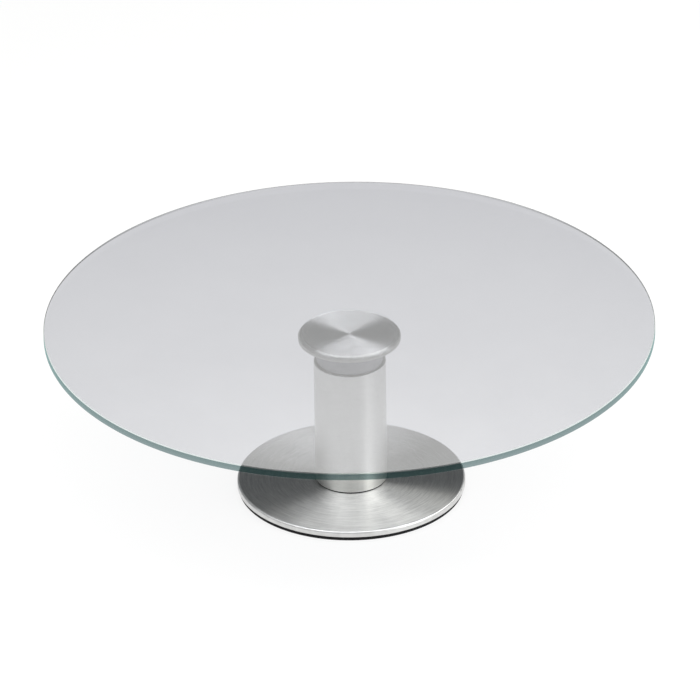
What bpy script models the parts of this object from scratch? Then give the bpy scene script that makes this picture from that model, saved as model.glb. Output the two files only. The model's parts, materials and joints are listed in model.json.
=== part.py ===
"""A turning glass cake stand.

A glass disc is bonded to a steel cap on a hub. They turn on a ball bearing in the head of a column.
Each piece is a solid of revolution about Z, or is cut from one. The origin is the middle of the
surface that the stand rests on. Lengths are in metres.
"""

import math

import bmesh
import bpy
from mathutils import Matrix

MM = 0.001

# Driving dimensions.
HEIGHT = 90 * MM
GLASS_DIAMETER = 300 * MM
GLASS_THICKNESS = 4 * MM
CAP_DIAMETER = 50.4 * MM
CAP_THICKNESS = 2.5 * MM
NECK_DIAMETER = 32.8 * MM
NECK_HEIGHT = 12 * MM
COLUMN_DIAMETER = 35.4 * MM
COLUMN_WALL = 1.5 * MM
BASE_DIAMETER = 112.4 * MM
BASE_THICKNESS = 3 * MM
PAD_THICKNESS = 1.8 * MM
BALL_DIAMETER = 4 * MM
BALL_COUNT = 9
BEARING_BORE = 11 * MM
BEARING_DIAMETER = 25 * MM
SPINDLE_DIAMETER = 8 * MM

# Clearances.
GAP = 0.3 * MM  # between pieces that touch on the real object
RUNNING_GAP = 0.5 * MM  # between the turning neck and the column
JOURNAL_GAP = 0.1 * MM  # between the spindle and its bush

# Smaller details.
GLASS_ARRIS = 0.4 * MM
CAP_BEVEL = 0.7 * MM
BASE_BEVEL = 1 * MM
TURNED_BEVEL = 0.4 * MM
FILM_THICKNESS = 0.3 * MM
FILM_INSET = 2 * MM
GASKET_THICKNESS = 0.4 * MM
PAD_INSET = 0.7 * MM
PAD_HOLE_RADIUS = 14 * MM
TOP_PLUG_DEPTH = 12 * MM
FOOT_PLUG_DEPTH = 11 * MM
RACE_THICKNESS = 1.8 * MM
GROOVE_DEPTH = 0.5 * MM
CAGE_THICKNESS = 1.2 * MM
HUB_WEB = 2 * MM
HUB_SEAT_RADIUS = 13.5 * MM
CAP_RING_WALL = 3 * MM
CAP_RING_DEPTH = 1.6 * MM
CAP_POCKET_DEPTH = 1.4 * MM
BUSH_WALL = 1.1 * MM
BUSH_FLANGE_RADIUS = 8.5 * MM
BUSH_FLANGE_THICKNESS = 0.6 * MM
WASHER_RADIUS = 8 * MM
WASHER_THICKNESS = 0.5 * MM
CIRCLIP_RADIUS = 6.2 * MM
CIRCLIP_THICKNESS = 0.6 * MM
CIRCLIP_MOUTH = 3.4 * MM
CIRCLIP_GROOVE_DEPTH = 0.7 * MM
SPINDLE_NOSE = 0.7 * MM
SPINDLE_TAIL = 7.2 * MM
NUT_ACROSS_FLATS = 13 * MM
NUT_HEIGHT = 4 * MM
NUT_WASHER_RADIUS = 8 * MM
NUT_WASHER_THICKNESS = 1.4 * MM
SCREW_COUNT = 3
SCREW_CIRCLE_RADIUS = 8.6 * MM
SCREW_RADIUS = 2 * MM
SCREW_HEAD_RADIUS = 3.7 * MM
SCREW_HEAD_HEIGHT = 1.7 * MM
SCREW_LENGTH = 10 * MM
SCREW_POINT = 0.5 * MM
SOCKET_ACROSS_FLATS = 2.5 * MM
SOCKET_DEPTH = 1.2 * MM

# Radii that follow from the diameters.
GLASS_RADIUS = GLASS_DIAMETER / 2
CAP_RADIUS = CAP_DIAMETER / 2
NECK_RADIUS = NECK_DIAMETER / 2
COLUMN_RADIUS = COLUMN_DIAMETER / 2
COLUMN_BORE_RADIUS = COLUMN_RADIUS - COLUMN_WALL
PLUG_RADIUS = COLUMN_BORE_RADIUS - GAP
BASE_RADIUS = BASE_DIAMETER / 2
SPINDLE_RADIUS = SPINDLE_DIAMETER / 2
SPINDLE_HOLE_RADIUS = SPINDLE_RADIUS + GAP
BALL_RADIUS = BALL_DIAMETER / 2
GROOVE_RADIUS = BALL_RADIUS + GAP
RACE_BORE_RADIUS = BEARING_BORE / 2
RACE_RADIUS = BEARING_DIAMETER / 2
BALL_CIRCLE_RADIUS = (RACE_BORE_RADIUS + RACE_RADIUS) / 2
BUSH_BORE_RADIUS = SPINDLE_RADIUS + JOURNAL_GAP
BUSH_RADIUS = BUSH_BORE_RADIUS + BUSH_WALL
CAP_RING_RADIUS = HUB_SEAT_RADIUS - GAP

# Levels, from the floor up to the column's top.
PAD_TOP = PAD_THICKNESS
BASE_LOW = PAD_TOP + GAP
BASE_TOP = BASE_LOW + BASE_THICKNESS
GASKET_LOW = BASE_TOP + GAP
COLUMN_LOW = GASKET_LOW + GASKET_THICKNESS + GAP

# Levels, from the glass down to the column's top.
GLASS_LOW = HEIGHT - GLASS_THICKNESS
FILM_LOW = GLASS_LOW - GAP - FILM_THICKNESS
CAP_TOP = FILM_LOW - GAP
CAP_LOW = CAP_TOP - CAP_THICKNESS
HUB_TOP = CAP_LOW - GAP
COLUMN_TOP = CAP_LOW - NECK_HEIGHT
HUB_LOW = COLUMN_TOP + RUNNING_GAP

# Levels in the bearing and on the spindle.
LOWER_RACE_LOW = COLUMN_TOP + GAP
LOWER_RACE_TOP = LOWER_RACE_LOW + RACE_THICKNESS
BALL_CENTRE = LOWER_RACE_TOP - GROOVE_DEPTH + GROOVE_RADIUS
UPPER_RACE_LOW = 2 * BALL_CENTRE - LOWER_RACE_TOP
UPPER_RACE_TOP = UPPER_RACE_LOW + RACE_THICKNESS
WEB_LOW = UPPER_RACE_TOP + GAP
WEB_TOP = WEB_LOW + HUB_WEB
FLANGE_LOW = WEB_TOP + GAP
WASHER_LOW = FLANGE_LOW + BUSH_FLANGE_THICKNESS + GAP
CIRCLIP_LOW = WASHER_LOW + WASHER_THICKNESS + GAP
SPINDLE_TOP = CIRCLIP_LOW + CIRCLIP_THICKNESS + SPINDLE_NOSE
TOP_PLUG_LOW = COLUMN_TOP - TOP_PLUG_DEPTH
NUT_WASHER_LOW = TOP_PLUG_LOW - GAP - NUT_WASHER_THICKNESS
NUT_LOW = NUT_WASHER_LOW - GAP - NUT_HEIGHT
SPINDLE_LOW = TOP_PLUG_LOW - SPINDLE_TAIL

# Facets round a full turn.
WIDE_FACETS = 96
BODY_FACETS = 64
RING_FACETS = 40
SMALL_FACETS = 24
BALL_FACETS = 16
BALL_RINGS = 8
GROOVE_POINTS = 5

SHARP_ANGLE = math.radians(30)
MERGE_DISTANCE = 0.01 * MM
CUTTER_OVERSHOOT = 1 * MM

COLLECTION_NAME = "cake_stand"
CUTTERS_NAME = "cake_stand_cutters"

# Colour, roughness, metallic.
PAINTS = {
    "clear_glass": ((0.80, 0.88, 0.87, 1), 0.02, 0.0),
    "clear_adhesive": ((0.86, 0.87, 0.88, 1), 0.1, 0.0),
    "brushed_steel": ((0.60, 0.59, 0.56, 1), 0.32, 1.0),
    "satin_neck": ((0.25, 0.25, 0.27, 1), 0.5, 0.6),
    "bearing_steel": ((0.62, 0.62, 0.63, 1), 0.12, 1.0),
    "cage_brass": ((0.62, 0.44, 0.18, 1), 0.35, 1.0),
    "bush_plastic": ((0.85, 0.84, 0.80, 1), 0.45, 0.0),
    "turned_steel": ((0.50, 0.50, 0.50, 1), 0.35, 1.0),
    "zinc_plate": ((0.58, 0.59, 0.60, 1), 0.3, 1.0),
    "black_rubber": ((0.015, 0.015, 0.016, 1), 0.8, 0.0),
}


def clear_scene():
    """Removes whatever objects the scene holds."""
    for thing in list(bpy.data.objects):
        bpy.data.objects.remove(thing)


def new_collection(name):
    """A collection in the scene."""
    collection = bpy.data.collections.new(name)
    bpy.context.scene.collection.children.link(collection)
    return collection


def new_paint(name):
    """A plain material with a sub-part's colour, roughness and metallic value."""
    colour, roughness, metallic = PAINTS[name]
    paint = bpy.data.materials.new(name)
    paint.use_nodes = True
    shader = paint.node_tree.nodes["Principled BSDF"]
    shader.inputs["Base Color"].default_value = colour
    shader.inputs["Roughness"].default_value = roughness
    shader.inputs["Metallic"].default_value = metallic
    paint.diffuse_color = colour
    return paint


def add_piece(name, mesh, paint_name):
    """An object for one sub-part, in the stand's collection, with its material."""
    piece = bpy.data.objects.new(name, mesh)
    mesh.materials.append(paints[paint_name])
    parts.objects.link(piece)
    return piece


def turned_mesh(name, outline):
    """A mesh of edges only: a turned shape's outline, as (radius, height) points down its outer side.

    A ring's outline closes on itself. A solid's starts and ends on the axis.
    """
    points = [(radius, 0, height) for radius, height in outline]
    edges = [(i, i + 1) for i in range(len(points) - 1)]
    if outline[0][0] > 0:
        edges.append((len(points) - 1, 0))
    mesh = bpy.data.meshes.new(name)
    mesh.from_pydata(points, edges, [])
    return mesh


def add_turned(name, outline, paint_name, facets):
    """A solid of revolution about Z. Its outline's heights are levels above the floor."""
    base_level = min(height for _, height in outline)
    local = [(radius, height - base_level) for radius, height in outline]
    piece = add_piece(name, turned_mesh(name, local), paint_name)
    piece.location.z = base_level
    screw = piece.modifiers.new("turn", "SCREW")
    screw.axis = "Z"
    screw.steps = facets
    screw.render_steps = facets
    screw.use_merge_vertices = True
    screw.merge_threshold = MERGE_DISTANCE
    return piece


def disc(radius, low, top, top_bevel=0.0, low_bevel=0.0):
    """Outline of a solid disc, whose rim may be bevelled above and below."""
    rim = [(radius, top - top_bevel), (radius, low + low_bevel)]
    if top_bevel:
        rim.insert(0, (radius - top_bevel, top))
    if low_bevel:
        rim.append((radius - low_bevel, low))
    return [(0, top), *rim, (0, low)]


def ring(bore, radius, low, top, top_bevel=0.0, low_bevel=0.0):
    """Outline of a ring, whose outer rim may be bevelled above and below."""
    return [*disc(radius, low, top, top_bevel, low_bevel)[1:-1], (bore, low), (bore, top)]


def groove(radius, level, half_width, start, end):
    """Points of a ball groove's arc about (radius, level), between two angles from +X."""
    steps = range(GROOVE_POINTS)
    angles = [start + (end - start) * step / (GROOVE_POINTS - 1) for step in steps]
    return [(radius + half_width * math.cos(a), level + half_width * math.sin(a)) for a in angles]


def new_cutter(name, build, place):
    """A hidden mesh that a Boolean cuts with. build fills its bmesh."""
    mesh = bpy.data.meshes.new(name)
    shape = bmesh.new()
    build(shape)
    shape.to_mesh(mesh)
    shape.free()
    cutter = bpy.data.objects.new(name, mesh)
    cutter.location = place
    cutter.hide_render = True
    cutter.display_type = "WIRE"
    cutters.objects.link(cutter)
    return cutter


def cylinder(radius_low, radius_top, height, facets):
    """Fills a bmesh with a closed cylinder or cone that stands on its origin."""

    def build(shape):
        bmesh.ops.create_cone(
            shape,
            cap_ends=True,
            segments=facets,
            radius1=radius_low,
            radius2=radius_top,
            depth=height,
            matrix=Matrix.Translation((0, 0, height / 2)),
        )

    return build


def box(width, depth, height):
    """Fills a bmesh with a box that stands on its origin."""

    def build(shape):
        size = Matrix.Diagonal((width, depth, height, 1))
        bmesh.ops.create_cube(shape, size=1, matrix=Matrix.Translation((0, 0, height / 2)) @ size)

    return build


def cut(piece, cutter):
    """Takes a cutter's shape out of a piece."""
    boolean = piece.modifiers.new("cut", "BOOLEAN")
    boolean.operation = "DIFFERENCE"
    boolean.object = cutter


def around(count, radius, index):
    """The x and y of one of several places spaced evenly on a circle, the first on +Y."""
    angle = math.pi / 2 + 2 * math.pi * index / count
    return radius * math.cos(angle), radius * math.sin(angle)


def apply_modifiers(piece):
    """Makes a piece plain mesh, smooth but for its sharp edges."""
    graph = bpy.context.evaluated_depsgraph_get()
    mesh = bpy.data.meshes.new_from_object(piece.evaluated_get(graph), depsgraph=graph)
    mesh.name = piece.name
    mesh.shade_smooth()
    mesh.set_sharp_from_angle(angle=SHARP_ANGLE)
    piece.modifiers.clear()
    piece.data = mesh


def make_glass_top():
    """The disc that carries the cake, with a flat polished edge and a fine arris."""
    outline = disc(GLASS_RADIUS, GLASS_LOW, HEIGHT, GLASS_ARRIS, GLASS_ARRIS)
    return add_turned("glass_top", outline, "clear_glass", WIDE_FACETS)


def make_bond_film():
    """The adhesive that holds the glass to its cap."""
    outline = disc(CAP_RADIUS - FILM_INSET, FILM_LOW, FILM_LOW + FILM_THICKNESS)
    return add_turned("bond_film", outline, "clear_adhesive", BODY_FACETS)


def make_cap_disc():
    """The cap under the glass, with a ring below that seats in the hub and a pocket for the spindle."""
    ring_low = CAP_LOW - CAP_RING_DEPTH
    ring_bore = CAP_RING_RADIUS - CAP_RING_WALL
    outline = [
        *disc(CAP_RADIUS, CAP_LOW, CAP_TOP, CAP_BEVEL)[:-1],
        (CAP_RING_RADIUS, CAP_LOW),
        (CAP_RING_RADIUS, ring_low),
        (ring_bore, ring_low),
        (ring_bore, CAP_LOW + CAP_POCKET_DEPTH),
        (0, CAP_LOW + CAP_POCKET_DEPTH),
    ]
    return add_turned("cap_disc", outline, "brushed_steel", BODY_FACETS)


def make_swivel_hub():
    """The neck: a cup over the bearing, with a seat above its web for the cap."""
    well_radius = RACE_RADIUS + GAP
    outline = [
        (NECK_RADIUS - TURNED_BEVEL, HUB_TOP),
        (NECK_RADIUS, HUB_TOP - TURNED_BEVEL),
        (NECK_RADIUS, HUB_LOW + TURNED_BEVEL),
        (NECK_RADIUS - TURNED_BEVEL, HUB_LOW),
        (well_radius, HUB_LOW),
        (well_radius, WEB_LOW),
        (BUSH_RADIUS + GAP, WEB_LOW),
        (BUSH_RADIUS + GAP, WEB_TOP),
        (HUB_SEAT_RADIUS, WEB_TOP),
        (HUB_SEAT_RADIUS, HUB_TOP),
    ]
    return add_turned("swivel_hub", outline, "satin_neck", BODY_FACETS)


def groove_half_angle():
    """Half the angle of a race's groove, seen from the balls' centre."""
    return math.acos((GROOVE_RADIUS - GROOVE_DEPTH) / GROOVE_RADIUS)


def make_lower_race():
    """The bearing's fixed washer, grooved on top."""
    half = groove_half_angle()
    down = -math.pi / 2
    track = groove(BALL_CIRCLE_RADIUS, BALL_CENTRE, GROOVE_RADIUS, down - half, down + half)
    outline = [*ring(RACE_BORE_RADIUS, RACE_RADIUS, LOWER_RACE_LOW, LOWER_RACE_TOP), *track]
    return add_turned("lower_race", outline, "bearing_steel", RING_FACETS)


def make_upper_race():
    """The bearing's turning washer, grooved below."""
    half = groove_half_angle()
    up = math.pi / 2
    track = groove(BALL_CIRCLE_RADIUS, BALL_CENTRE, GROOVE_RADIUS, up - half, up + half)
    top_right, low_right, low_left, top_left = ring(
        RACE_BORE_RADIUS, RACE_RADIUS, UPPER_RACE_LOW, UPPER_RACE_TOP
    )
    outline = [top_right, low_right, *track, low_left, top_left]
    return add_turned("upper_race", outline, "bearing_steel", RING_FACETS)


def make_ball_cage():
    """The flat cage that spaces the balls, with a round pocket for each."""
    low = BALL_CENTRE - CAGE_THICKNESS / 2
    top = BALL_CENTRE + CAGE_THICKNESS / 2
    outline = ring(RACE_BORE_RADIUS + GAP, RACE_RADIUS - GAP, low, top)
    cage = add_turned("ball_cage", outline, "cage_brass", RING_FACETS)
    height = CAGE_THICKNESS + 2 * CUTTER_OVERSHOOT
    for index in range(BALL_COUNT):
        x, y = around(BALL_COUNT, BALL_CIRCLE_RADIUS, index)
        pocket = cylinder(BALL_RADIUS + GAP, BALL_RADIUS + GAP, height, BALL_FACETS)
        cut(cage, new_cutter(f"cut_pocket_{index + 1}", pocket, (x, y, low - CUTTER_OVERSHOOT)))
    return cage


def make_balls():
    """The bearing's balls, which share one mesh."""
    mesh = bpy.data.meshes.new("bearing_ball")
    shape = bmesh.new()
    bmesh.ops.create_uvsphere(
        shape, u_segments=BALL_FACETS, v_segments=BALL_RINGS, radius=BALL_RADIUS
    )
    shape.to_mesh(mesh)
    shape.free()
    mesh.materials.append(paints["bearing_steel"])
    mesh.shade_smooth()
    balls = []
    for index in range(BALL_COUNT):
        ball = bpy.data.objects.new(f"bearing_ball_{index + 1}", mesh)
        x, y = around(BALL_COUNT, BALL_CIRCLE_RADIUS, index)
        ball.location = (x, y, BALL_CENTRE)
        parts.objects.link(ball)
        balls.append(ball)
    return balls


def make_pivot_bush():
    """The flanged bush that centres the hub on the spindle."""
    low = LOWER_RACE_LOW + GAP
    flange_top = FLANGE_LOW + BUSH_FLANGE_THICKNESS
    outline = [
        (BUSH_FLANGE_RADIUS, flange_top),
        (BUSH_FLANGE_RADIUS, FLANGE_LOW),
        (BUSH_RADIUS, FLANGE_LOW),
        (BUSH_RADIUS, low),
        (BUSH_BORE_RADIUS, low),
        (BUSH_BORE_RADIUS, flange_top),
    ]
    return add_turned("pivot_bush", outline, "bush_plastic", SMALL_FACETS)


def make_spindle():
    """The fixed pin that the head turns on, grooved near its top for the circlip."""
    groove_low = CIRCLIP_LOW - GAP / 2
    groove_top = CIRCLIP_LOW + CIRCLIP_THICKNESS + GAP / 2
    groove_radius = SPINDLE_RADIUS - CIRCLIP_GROOVE_DEPTH
    outline = [
        (0, SPINDLE_TOP),
        (SPINDLE_RADIUS - TURNED_BEVEL, SPINDLE_TOP),
        (SPINDLE_RADIUS, SPINDLE_TOP - TURNED_BEVEL),
        (SPINDLE_RADIUS, groove_top),
        (groove_radius, groove_top),
        (groove_radius, groove_low),
        (SPINDLE_RADIUS, groove_low),
        (SPINDLE_RADIUS, SPINDLE_LOW + TURNED_BEVEL),
        (SPINDLE_RADIUS - TURNED_BEVEL, SPINDLE_LOW),
        (0, SPINDLE_LOW),
    ]
    return add_turned("spindle", outline, "turned_steel", SMALL_FACETS)


def make_retaining_washer():
    """The washer between the bush's flange and the circlip."""
    outline = ring(SPINDLE_HOLE_RADIUS, WASHER_RADIUS, WASHER_LOW, WASHER_LOW + WASHER_THICKNESS)
    return add_turned("retaining_washer", outline, "zinc_plate", SMALL_FACETS)


def make_circlip():
    """The open ring that snaps into the spindle's groove."""
    bore = SPINDLE_RADIUS - CIRCLIP_GROOVE_DEPTH + GAP
    top = CIRCLIP_LOW + CIRCLIP_THICKNESS
    outline = ring(bore, CIRCLIP_RADIUS, CIRCLIP_LOW, top)
    clip = add_turned("circlip", outline, "zinc_plate", SMALL_FACETS)
    mouth = box(CIRCLIP_MOUTH, CIRCLIP_RADIUS * 2, CIRCLIP_THICKNESS + 2 * CUTTER_OVERSHOOT)
    place = (0, CIRCLIP_RADIUS, CIRCLIP_LOW - CUTTER_OVERSHOOT)
    cut(clip, new_cutter("cut_circlip_mouth", mouth, place))
    return clip


def make_top_plug():
    """The plug in the column's upper end, which carries the bearing and the spindle."""
    outline = ring(SPINDLE_HOLE_RADIUS, PLUG_RADIUS, TOP_PLUG_LOW, COLUMN_TOP, 0, TURNED_BEVEL)
    return add_turned("top_plug", outline, "turned_steel", RING_FACETS)


def make_spindle_washer():
    """The washer under the top plug."""
    top = NUT_WASHER_LOW + NUT_WASHER_THICKNESS
    outline = ring(SPINDLE_HOLE_RADIUS, NUT_WASHER_RADIUS, NUT_WASHER_LOW, top)
    return add_turned("spindle_washer", outline, "zinc_plate", SMALL_FACETS)


def make_spindle_nut():
    """The hexagon nut that holds the spindle in the top plug."""
    corner_radius = NUT_ACROSS_FLATS / math.sqrt(3)
    mesh = bpy.data.meshes.new("spindle_nut")
    shape = bmesh.new()
    cylinder(corner_radius, corner_radius, NUT_HEIGHT, 6)(shape)
    shape.to_mesh(mesh)
    shape.free()
    nut = add_piece("spindle_nut", mesh, "zinc_plate")
    nut.location.z = NUT_LOW
    hole = cylinder(
        SPINDLE_HOLE_RADIUS, SPINDLE_HOLE_RADIUS, NUT_HEIGHT + 2 * CUTTER_OVERSHOOT, SMALL_FACETS
    )
    cut(nut, new_cutter("cut_nut_hole", hole, (0, 0, NUT_LOW - CUTTER_OVERSHOOT)))
    return nut


def make_column_tube():
    """The column, a tube with a fine bevel at each end."""
    outline = ring(
        COLUMN_BORE_RADIUS, COLUMN_RADIUS, COLUMN_LOW, COLUMN_TOP, TURNED_BEVEL, TURNED_BEVEL
    )
    return add_turned("column_tube", outline, "brushed_steel", BODY_FACETS)


def make_foot_gasket():
    """The thin dark ring between the column and the base."""
    outline = ring(
        COLUMN_BORE_RADIUS, COLUMN_RADIUS - GAP, GASKET_LOW, GASKET_LOW + GASKET_THICKNESS
    )
    return add_turned("foot_gasket", outline, "black_rubber", BODY_FACETS)


def screw_place(index, level):
    """Where one of the base's screws stands, at a level."""
    x, y = around(SCREW_COUNT, SCREW_CIRCLE_RADIUS, index)
    return x, y, level


def make_foot_plug():
    """The plug in the column's lower end, with a blind hole for each base screw."""
    low = GASKET_LOW
    outline = disc(PLUG_RADIUS, low, low + FOOT_PLUG_DEPTH, TURNED_BEVEL)
    plug = add_turned("foot_plug", outline, "turned_steel", RING_FACETS)
    hole_top = BASE_LOW + SCREW_LENGTH + CUTTER_OVERSHOOT
    hole_low = low - CUTTER_OVERSHOOT
    radius = SCREW_RADIUS + GAP
    for index in range(SCREW_COUNT):
        hole = cylinder(radius, radius, hole_top - hole_low, BALL_FACETS)
        cut(plug, new_cutter(f"cut_plug_hole_{index + 1}", hole, screw_place(index, hole_low)))
    return plug


def make_base_plate():
    """The round base, bevelled above, with a countersunk hole for each screw below."""
    outline = disc(BASE_RADIUS, BASE_LOW, BASE_TOP, BASE_BEVEL)
    plate = add_turned("base_plate", outline, "brushed_steel", WIDE_FACETS)
    hole_radius = SCREW_RADIUS + GAP
    slope = (SCREW_HEAD_RADIUS - SCREW_RADIUS) / SCREW_HEAD_HEIGHT
    mouth_radius = SCREW_HEAD_RADIUS + GAP + slope * CUTTER_OVERSHOOT
    sink_height = SCREW_HEAD_HEIGHT + CUTTER_OVERSHOOT
    sink_low = BASE_LOW - CUTTER_OVERSHOOT
    for index in range(SCREW_COUNT):
        hole = cylinder(hole_radius, hole_radius, BASE_THICKNESS + 2 * CUTTER_OVERSHOOT, BALL_FACETS)
        sink = cylinder(mouth_radius, hole_radius, sink_height, BALL_FACETS)
        cut(plate, new_cutter(f"cut_base_hole_{index + 1}", hole, screw_place(index, sink_low)))
        cut(plate, new_cutter(f"cut_base_sink_{index + 1}", sink, screw_place(index, sink_low)))
    return plate


def make_base_screws():
    """The countersunk screws that hold the column to the base, each with a hexagon socket."""
    outline = [
        (0, SCREW_LENGTH),
        (SCREW_RADIUS - SCREW_POINT, SCREW_LENGTH),
        (SCREW_RADIUS, SCREW_LENGTH - SCREW_POINT),
        (SCREW_RADIUS, SCREW_HEAD_HEIGHT),
        (SCREW_HEAD_RADIUS, 0),
        (0, 0),
    ]
    socket_radius = SOCKET_ACROSS_FLATS / math.sqrt(3)
    socket_height = SOCKET_DEPTH + CUTTER_OVERSHOOT
    screws = []
    for index in range(SCREW_COUNT):
        screw = add_turned(f"base_screw_{index + 1}", outline, "zinc_plate", BALL_FACETS)
        screw.location = screw_place(index, BASE_LOW)
        socket = cylinder(socket_radius, socket_radius, socket_height, 6)
        place = screw_place(index, BASE_LOW - CUTTER_OVERSHOOT)
        cut(screw, new_cutter(f"cut_socket_{index + 1}", socket, place))
        screws.append(screw)
    return screws


def make_foot_pad():
    """The black pad that the stand rests on, open in the middle to reach the screws."""
    outline = ring(PAD_HOLE_RADIUS, BASE_RADIUS - PAD_INSET, 0, PAD_TOP, GAP, GAP)
    return add_turned("foot_pad", outline, "black_rubber", WIDE_FACETS)


def add_axis(name, level):
    """An empty on the stand's axis, which the pieces that turn together hang from."""
    axis = bpy.data.objects.new(name, None)
    axis.location.z = level
    parts.objects.link(axis)
    return axis


def hang(pieces, axis):
    """Parents pieces to an axis and leaves them where they are."""
    for piece in pieces:
        piece.parent = axis
        piece.matrix_parent_inverse = Matrix.Translation(axis.location).inverted()


def build_stand():
    """Makes every piece, applies its modifiers and hangs the turning pieces from their axes."""
    turntable = [
        make_glass_top(),
        make_bond_film(),
        make_cap_disc(),
        make_swivel_hub(),
        make_upper_race(),
        make_pivot_bush(),
    ]
    cage = make_ball_cage()
    balls = make_balls()
    pedestal = [
        make_lower_race(),
        make_spindle(),
        make_retaining_washer(),
        make_circlip(),
        make_top_plug(),
        make_spindle_washer(),
        make_spindle_nut(),
        make_column_tube(),
        make_foot_gasket(),
        make_foot_plug(),
        make_base_plate(),
        *make_base_screws(),
        make_foot_pad(),
    ]
    bpy.context.view_layer.update()
    for piece in [*turntable, cage, *pedestal]:
        apply_modifiers(piece)
    hang(turntable, add_axis("turntable_axis", UPPER_RACE_LOW))
    hang([cage, *balls], add_axis("ball_ring_axis", BALL_CENTRE))


clear_scene()
parts = new_collection(COLLECTION_NAME)
cutters = new_collection(CUTTERS_NAME)
paints = {name: new_paint(name) for name in PAINTS}
build_stand()
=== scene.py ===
"""Looks of the turning glass cake stand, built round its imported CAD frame.

Each piece is a fine mesh that takes the place of one CAD node. Pieces are made in the frame's own
coordinates, in metres, so that a material's object coordinates are real sizes.
"""

import json
import math

import bmesh
import bpy
from mathutils import Matrix, Vector

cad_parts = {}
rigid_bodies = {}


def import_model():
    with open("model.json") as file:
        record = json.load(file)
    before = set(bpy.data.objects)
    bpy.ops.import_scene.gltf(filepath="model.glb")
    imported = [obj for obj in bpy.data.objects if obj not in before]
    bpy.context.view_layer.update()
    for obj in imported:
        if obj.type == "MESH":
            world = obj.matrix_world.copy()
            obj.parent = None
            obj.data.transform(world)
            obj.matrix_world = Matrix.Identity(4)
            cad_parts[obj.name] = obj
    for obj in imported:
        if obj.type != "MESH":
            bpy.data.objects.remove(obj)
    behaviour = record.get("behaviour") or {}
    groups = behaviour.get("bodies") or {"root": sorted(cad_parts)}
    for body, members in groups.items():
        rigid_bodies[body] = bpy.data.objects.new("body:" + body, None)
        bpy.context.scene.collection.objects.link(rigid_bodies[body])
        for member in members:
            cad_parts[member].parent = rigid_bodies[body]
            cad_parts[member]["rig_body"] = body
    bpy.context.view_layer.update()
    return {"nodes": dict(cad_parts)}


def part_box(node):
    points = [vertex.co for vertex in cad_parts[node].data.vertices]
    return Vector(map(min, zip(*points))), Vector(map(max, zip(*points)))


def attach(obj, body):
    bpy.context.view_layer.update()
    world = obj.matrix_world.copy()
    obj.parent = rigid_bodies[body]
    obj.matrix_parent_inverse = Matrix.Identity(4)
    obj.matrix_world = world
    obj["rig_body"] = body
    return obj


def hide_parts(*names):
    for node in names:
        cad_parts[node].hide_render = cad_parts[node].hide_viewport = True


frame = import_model()

MM = 0.001

# Fine meshes.
WIDE_SEGMENTS = 256
BODY_SEGMENTS = 160
RING_SEGMENTS = 96
SMALL_SEGMENTS = 48
FILLET_STEPS = 6
ARC_STEPS = 24
THREAD_STEPS = 8  # rings to one turn of a thread
SHARP_ANGLE = math.radians(35)
HOLDING_GAP = 0.25 * MM  # from a fillet to the ring that keeps the face beside it flat
CUTTER_OVERSHOOT = 1 * MM
WELD = 0.002 * MM  # points of a cut closer than this become one
ON_SURFACE = 0.999  # share of a radius beyond which a point is on the surface to be threaded

# Rounded edges.
GLASS_ROUND = 0.12 * MM
CAP_ROUND = 0.35 * MM
COLUMN_ROUND = 0.25 * MM
BASE_ROUND = 1 * MM
PAD_ROUND = 0.3 * MM
FINE_ROUND = 0.15 * MM
THIN_ROUND = 0.08 * MM

# Sizes that the CAD nodes' boxes don't give, as in the CAD.
GAP = 0.3 * MM  # between pieces that touch
GLASS_ARRIS = 0.4 * MM
CAP_BEVEL = 0.7 * MM
CAP_RING_WALL = 3 * MM
CAP_POCKET_DEPTH = 1.4 * MM
HUB_SEAT_RADIUS = 13.5 * MM
HUB_WEB = 2 * MM
COLUMN_WALL = 1.5 * MM
PAD_HOLE_RADIUS = 14 * MM
RACE_BORE_RADIUS = 5.5 * MM
RACE_GROOVE_DEPTH = 0.5 * MM
SPINDLE_HOLE_RADIUS = 4.3 * MM
BUSH_BORE_RADIUS = 4.1 * MM
BUSH_RADIUS = 5.2 * MM
BUSH_FLANGE_THICKNESS = 0.6 * MM
CIRCLIP_GROOVE_DEPTH = 0.7 * MM
CIRCLIP_MOUTH = 3.4 * MM
NUT_ACROSS_FLATS = 13 * MM
SCREW_RADIUS = 2 * MM
SCREW_HEAD_HEIGHT = 1.7 * MM
SCREW_POINT = 0.5 * MM
SOCKET_ACROSS_FLATS = 2.5 * MM
SOCKET_DEPTH = 1.2 * MM

# Details that the CAD leaves out.
CLOSE_FIT = 0.05 * MM  # between the base, the gasket and the column, where they show
CIRCLIP_BAND = 1.5 * MM
CIRCLIP_LUG_ANGLE = math.radians(26)
CIRCLIP_PLIER_HOLE = 0.55 * MM
NUT_CROWN = 0.97  # width of the nut's flat end, of its width across flats
SPINDLE_PITCH = 1.25 * MM
SCREW_PITCH = 0.7 * MM
THREAD_DEPTH = 0.6  # of its pitch

# Turned and brushed metal. Each kind of mark has how many times to a metre it changes along the
# piece's outline, and how fast it changes around the piece.
FINE_STROKES = (4200, 9.0)
BROAD_STROKES = (1200, 3.5)
RAYS = (3, 14.0)
TOOL_MARKS = (3600, 1.0)
FINE_SHARE = 0.45  # of the fine strokes in the brushed lines
BROAD_SHARE = 0.55
RAY_CONTRAST = 0.03  # of the faint rays across brushed steel
STEEL = (0.69, 0.69, 0.67, 1)

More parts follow.
